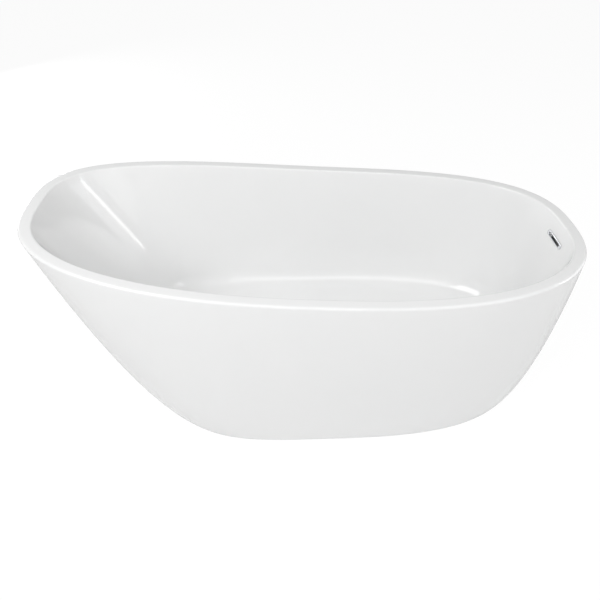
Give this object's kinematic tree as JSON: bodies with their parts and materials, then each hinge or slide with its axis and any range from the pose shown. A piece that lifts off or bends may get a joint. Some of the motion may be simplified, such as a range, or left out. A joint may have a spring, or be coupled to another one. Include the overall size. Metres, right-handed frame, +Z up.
{
  "type": "freestanding bathtub",
  "caption": "Oval double-skin freestanding bath, one end raised and sloped, with hidden frame, screw feet, slot overflow, hose and push waste.",
  "frame": {"origin": "on the floor under the centre of the overall box", "axes": "+X from the raised head end to the overflow end, +Y to the far long side, +Z up"},
  "size_m": [1.7, 0.8, 0.7117],
  "materials": {
    "acrylic": "gloss",
    "glass_fibre": "rough resin",
    "plywood": "resin sealed",
    "frame_steel": "galvanised",
    "zinc_steel": "zinc plated",
    "black_plastic": "moulded",
    "rubber": "matt",
    "bond": "cured adhesive",
    "chrome": "polished",
    "white_plastic": "moulded",
    "soft_seal": "soft",
    "brass": "turned",
    "spring_steel": "bright wire",
    "grey_hose": "corrugated"
  },
  "bodies": {
    "tub": {"basin": "acrylic", "basin_backing": "glass_fibre", "skirt": "acrylic", "skirt_backing": "glass_fibre", "base_board": "plywood", "rail_left": "frame_steel", "rail_right": "frame_steel", "cross_head": "frame_steel", "cross_mid": "frame_steel", "cross_waste": "frame_steel", "cross_foot": "frame_steel", "frame_spacer": "frame_steel", "rail_caps": "black_plastic", "weld_nuts": "zinc_steel", "foot_locknuts": "zinc_steel", "frame_screws": "zinc_steel", "skirt_ties": "frame_steel", "tie_screws": "zinc_steel", "tie_bonds": "bond", "drain_flange": "chrome", "flange_seal": "soft_seal", "drain_gasket": "rubber", "drain_shoe": "white_plastic", "tailpiece": "chrome", "tailpiece_nut": "white_plastic", "tailpiece_washer": "soft_seal", "cartridge_body": "brass", "cartridge_spring": "spring_steel", "overflow_trim": "chrome", "overflow_gasket": "rubber", "overflow_box": "white_plastic", "overflow_screws": "zinc_steel", "overflow_hose": "grey_hose", "hose_clamp_upper": "zinc_steel", "hose_clamp_lower": "zinc_steel"},
    "foot_1_base": {"foot_1_pad": "black_plastic", "foot_1_sole": "rubber"},
    "foot_1_screw": {"foot_1_stud": "zinc_steel"},
    "foot_2_base": {"foot_2_pad": "black_plastic", "foot_2_sole": "rubber"},
    "foot_2_screw": {"foot_2_stud": "zinc_steel"},
    "foot_3_base": {"foot_3_pad": "black_plastic", "foot_3_sole": "rubber"},
    "foot_3_screw": {"foot_3_stud": "zinc_steel"},
    "foot_4_base": {"foot_4_pad": "black_plastic", "foot_4_sole": "rubber"},
    "foot_4_screw": {"foot_4_stud": "zinc_steel"},
    "foot_5_base": {"foot_5_pad": "black_plastic", "foot_5_sole": "rubber"},
    "foot_5_screw": {"foot_5_stud": "zinc_steel"},
    "stopper": {"stopper_cap": "chrome", "stopper_seal": "rubber", "cartridge_plunger": "brass"}
  },
  "joints": [
    {"name": "foot_1_travel", "type": "slide", "parent": "tub", "child": "foot_1_base", "axis": [0, 0, 1], "range_m": [-0.0175, 0]},
    {"name": "foot_1_spin", "type": "hinge", "parent": "foot_1_base", "child": "foot_1_screw", "pos_m": [-0.33, 0.23, 0.05], "axis": [0, 0, 1], "range_deg": [-3600, 0]},
    {"name": "foot_2_travel", "type": "slide", "parent": "tub", "child": "foot_2_base", "axis": [0, 0, 1], "range_m": [-0.0175, 0]},
    {"name": "foot_2_spin", "type": "hinge", "parent": "foot_2_base", "child": "foot_2_screw", "pos_m": [-0.33, -0.23, 0.05], "axis": [0, 0, 1], "range_deg": [-3600, 0]},
    {"name": "foot_3_travel", "type": "slide", "parent": "tub", "child": "foot_3_base", "axis": [0, 0, 1], "range_m": [-0.0175, 0]},
    {"name": "foot_3_spin", "type": "hinge", "parent": "foot_3_base", "child": "foot_3_screw", "pos_m": [0.54, 0.23, 0.05], "axis": [0, 0, 1], "range_deg": [-3600, 0]},
    {"name": "foot_4_travel", "type": "slide", "parent": "tub", "child": "foot_4_base", "axis": [0, 0, 1], "range_m": [-0.0175, 0]},
    {"name": "foot_4_spin", "type": "hinge", "parent": "foot_4_base", "child": "foot_4_screw", "pos_m": [0.54, -0.23, 0.05], "axis": [0, 0, 1], "range_deg": [-3600, 0]},
    {"name": "foot_5_travel", "type": "slide", "parent": "tub", "child": "foot_5_base", "axis": [0, 0, 1], "range_m": [-0.0175, 0]},
    {"name": "foot_5_spin", "type": "hinge", "parent": "foot_5_base", "child": "foot_5_screw", "pos_m": [0.06, 0, 0.05], "axis": [0, 0, 1], "range_deg": [-3600, 0]},
    {"name": "stopper_press", "type": "slide", "parent": "tub", "child": "stopper", "axis": [0, 0, 1], "range_m": [-0.009, 0], "stiffness_N_per_m": 400, "springref_m": 0.015, "deforming": ["cartridge_spring"]}
  ],
  "couplings": [
    {"joint": "foot_1_spin", "follows": "foot_1_travel", "rad_per_m": 3590.4},
    {"joint": "foot_2_spin", "follows": "foot_2_travel", "rad_per_m": 3590.4},
    {"joint": "foot_3_spin", "follows": "foot_3_travel", "rad_per_m": 3590.4},
    {"joint": "foot_4_spin", "follows": "foot_4_travel", "rad_per_m": 3590.4},
    {"joint": "foot_5_spin", "follows": "foot_5_travel", "rad_per_m": 3590.4}
  ]
}
